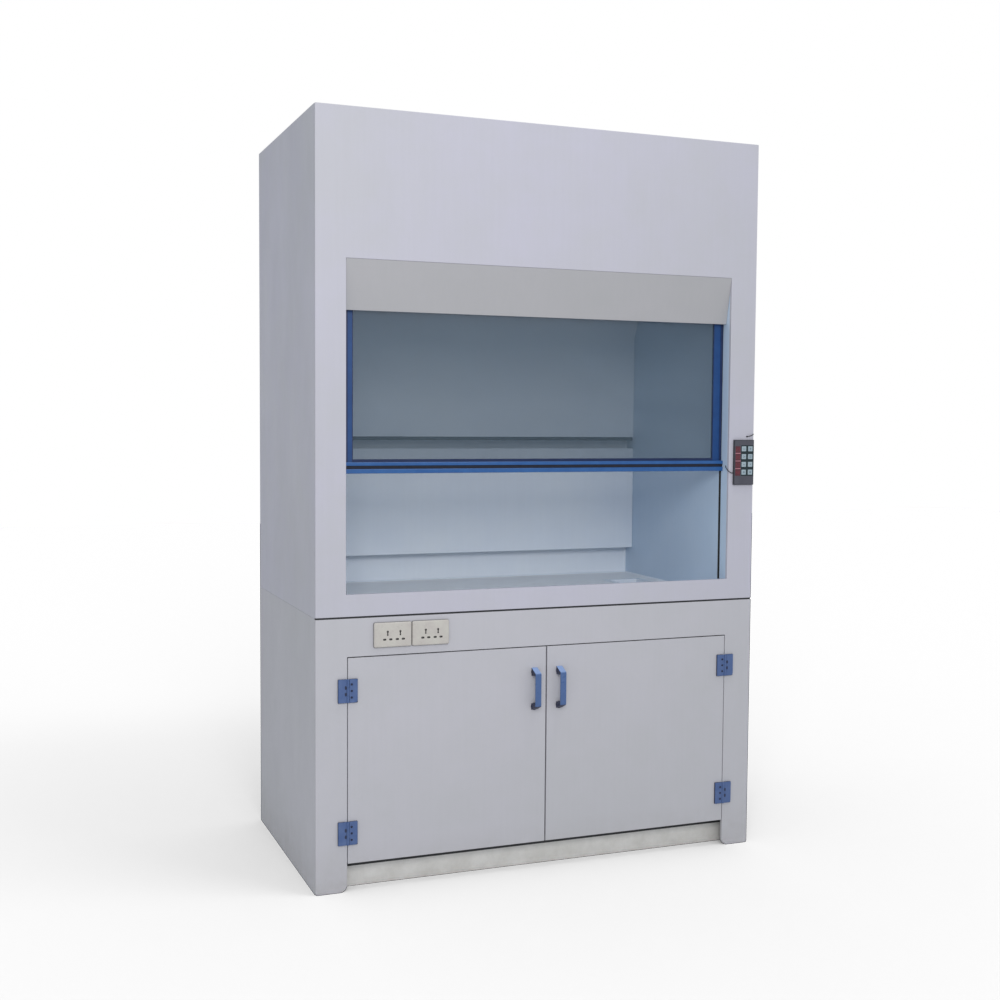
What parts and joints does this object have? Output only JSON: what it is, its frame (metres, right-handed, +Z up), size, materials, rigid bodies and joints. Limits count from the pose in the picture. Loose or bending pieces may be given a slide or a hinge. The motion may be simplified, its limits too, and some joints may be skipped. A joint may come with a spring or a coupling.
{
  "type": "fume hood",
  "caption": "Laboratory fume hood in white polypropylene sheet with a blue counterbalanced vertical sash over a two-door base cabinet.",
  "frame": {"origin": "centre of the whole object's footprint, on the floor", "axes": "+Z up; the sash, doors and control panel face -Y; +X is to the right as seen from the front"},
  "size_m": [1.5, 0.855, 2.43],
  "materials": {
    "shell_sheet": "satin welded polypropylene sheet, cool off-white",
    "plinth_sheet": "satin sheet, slightly warmer off-white",
    "chamber_sheet": "satin sheet, pale blue-white",
    "blue_sash": "satin royal blue",
    "blue_handle": "satin blue moulding",
    "blue_hinge": "satin blue moulding",
    "sash_glass": "clear toughened glass with a grey-green tint",
    "steel": "plain stainless",
    "pulley_nylon": "dark nylon",
    "cast_iron": "dark primer over iron",
    "control_housing": "dark grey satin overlay",
    "key_cap": "light grey satin",
    "outlet_plastic": "warm white moulding"
  },
  "bodies": {
    "root": {"base_side_left": "shell_sheet", "base_side_right": "shell_sheet", "base_back_panel": "shell_sheet", "base_floor_panel": "shell_sheet", "base_front_frame": "shell_sheet", "inner_shelf": "shell_sheet", "hood_side_left": "shell_sheet", "hood_side_right": "shell_sheet", "hood_back_panel": "shell_sheet", "hood_top_panel": "shell_sheet", "front_panel": "shell_sheet", "lintel_panel": "shell_sheet", "exhaust_collar": "shell_sheet", "lamp_housing": "shell_sheet", "liner_left": "chamber_sheet", "liner_right": "chamber_sheet", "rear_liner": "chamber_sheet", "chamber_ceiling": "chamber_sheet", "baffle_upper": "chamber_sheet", "baffle_lower": "chamber_sheet", "worktop": "chamber_sheet", "cup_sink": "chamber_sheet", "plinth_board": "plinth_sheet", "hinge_frame_leaf_left_upper": "blue_hinge", "hinge_frame_leaf_left_lower": "blue_hinge", "hinge_frame_leaf_right_upper": "blue_hinge", "hinge_frame_leaf_right_lower": "blue_hinge", "hinge_pin_left_upper": "steel", "hinge_pin_left_lower": "steel", "hinge_pin_right_upper": "steel", "hinge_pin_right_lower": "steel", "sash_cable_left": "steel", "sash_cable_right": "steel", "pulley_bracket_left": "steel", "pulley_bracket_right": "steel", "control_panel": "control_housing", "outlet_plate_1": "outlet_plastic", "outlet_plate_2": "outlet_plastic"},
    "door_left": {"door_left": "shell_sheet", "handle_left": "blue_handle", "hinge_door_leaf_left_upper": "blue_hinge", "hinge_door_leaf_left_lower": "blue_hinge"},
    "door_right": {"door_right": "shell_sheet", "handle_right": "blue_handle", "hinge_door_leaf_right_upper": "blue_hinge", "hinge_door_leaf_right_lower": "blue_hinge"},
    "sash": {"sash_frame": "blue_sash", "sash_glass": "sash_glass"},
    "pulley_left": {"pulley_left": "pulley_nylon"},
    "pulley_right": {"pulley_right": "pulley_nylon"},
    "counterweight_left": {"counterweight_left": "cast_iron"},
    "counterweight_right": {"counterweight_right": "cast_iron"},
    "key_1": {"key_1": "key_cap"},
    "key_2": {"key_2": "key_cap"},
    "key_3": {"key_3": "key_cap"},
    "key_4": {"key_4": "key_cap"},
    "key_5": {"key_5": "key_cap"},
    "key_6": {"key_6": "key_cap"},
    "key_7": {"key_7": "key_cap"},
    "key_8": {"key_8": "key_cap"}
  },
  "joints": [
    {"name": "door_left_hinge", "type": "hinge", "parent": "root", "child": "door_left", "pos_m": [-0.6515, -0.398, 0.4], "axis": [0, 0, -1], "range_deg": [0, 110]},
    {"name": "door_right_hinge", "type": "hinge", "parent": "root", "child": "door_right", "pos_m": [0.6515, -0.398, 0.4], "axis": [0, 0, 1], "range_deg": [0, 110]},
    {"name": "sash_slide", "type": "slide", "parent": "root", "child": "sash", "axis": [0, 0, 1], "range_m": [-0.355, 0.17], "deforming": ["sash_cable_left", "sash_cable_right"]},
    {"name": "counterweight_left_slide", "type": "slide", "parent": "root", "child": "counterweight_left", "axis": [0, 0, 1], "range_m": [-0.18, 0.365]},
    {"name": "pulley_left_spin", "type": "hinge", "parent": "root", "child": "pulley_left", "pos_m": [-0.7, -0.301, 2.27], "axis": [1, 0, 0], "range_deg": [-290, 595]},
    {"name": "counterweight_right_slide", "type": "slide", "parent": "root", "child": "counterweight_right", "axis": [0, 0, 1], "range_m": [-0.18, 0.365]},
    {"name": "pulley_right_spin", "type": "hinge", "parent": "root", "child": "pulley_right", "pos_m": [0.7, -0.301, 2.27], "axis": [1, 0, 0], "range_deg": [-290, 595]},
    {"name": "key_1_press", "type": "slide", "parent": "root", "child": "key_1", "axis": [0, 1, 0], "range_m": [0, 0.001], "stiffness_N_per_m": 1500, "springref_m": -0.0005},
    {"name": "key_2_press", "type": "slide", "parent": "root", "child": "key_2", "axis": [0, 1, 0], "range_m": [0, 0.001], "stiffness_N_per_m": 1500, "springref_m": -0.0005},
    {"name": "key_3_press", "type": "slide", "parent": "root", "child": "key_3", "axis": [0, 1, 0], "range_m": [0, 0.001], "stiffness_N_per_m": 1500, "springref_m": -0.0005},
    {"name": "key_4_press", "type": "slide", "parent": "root", "child": "key_4", "axis": [0, 1, 0], "range_m": [0, 0.001], "stiffness_N_per_m": 1500, "springref_m": -0.0005},
    {"name": "key_5_press", "type": "slide", "parent": "root", "child": "key_5", "axis": [0, 1, 0], "range_m": [0, 0.001], "stiffness_N_per_m": 1500, "springref_m": -0.0005},
    {"name": "key_6_press", "type": "slide", "parent": "root", "child": "key_6", "axis": [0, 1, 0], "range_m": [0, 0.001], "stiffness_N_per_m": 1500, "springref_m": -0.0005},
    {"name": "key_7_press", "type": "slide", "parent": "root", "child": "key_7", "axis": [0, 1, 0], "range_m": [0, 0.001], "stiffness_N_per_m": 1500, "springref_m": -0.0005},
    {"name": "key_8_press", "type": "slide", "parent": "root", "child": "key_8", "axis": [0, 1, 0], "range_m": [0, 0.001], "stiffness_N_per_m": 1500, "springref_m": -0.0005}
  ],
  "couplings": [
    {"joint": "counterweight_left_slide", "follows": "sash_slide", "ratio": -1},
    {"joint": "pulley_left_spin", "follows": "sash_slide", "rad_per_m": -28.571},
    {"joint": "counterweight_right_slide", "follows": "sash_slide", "ratio": -1},
    {"joint": "pulley_right_spin", "follows": "sash_slide", "rad_per_m": -28.571}
  ]
}
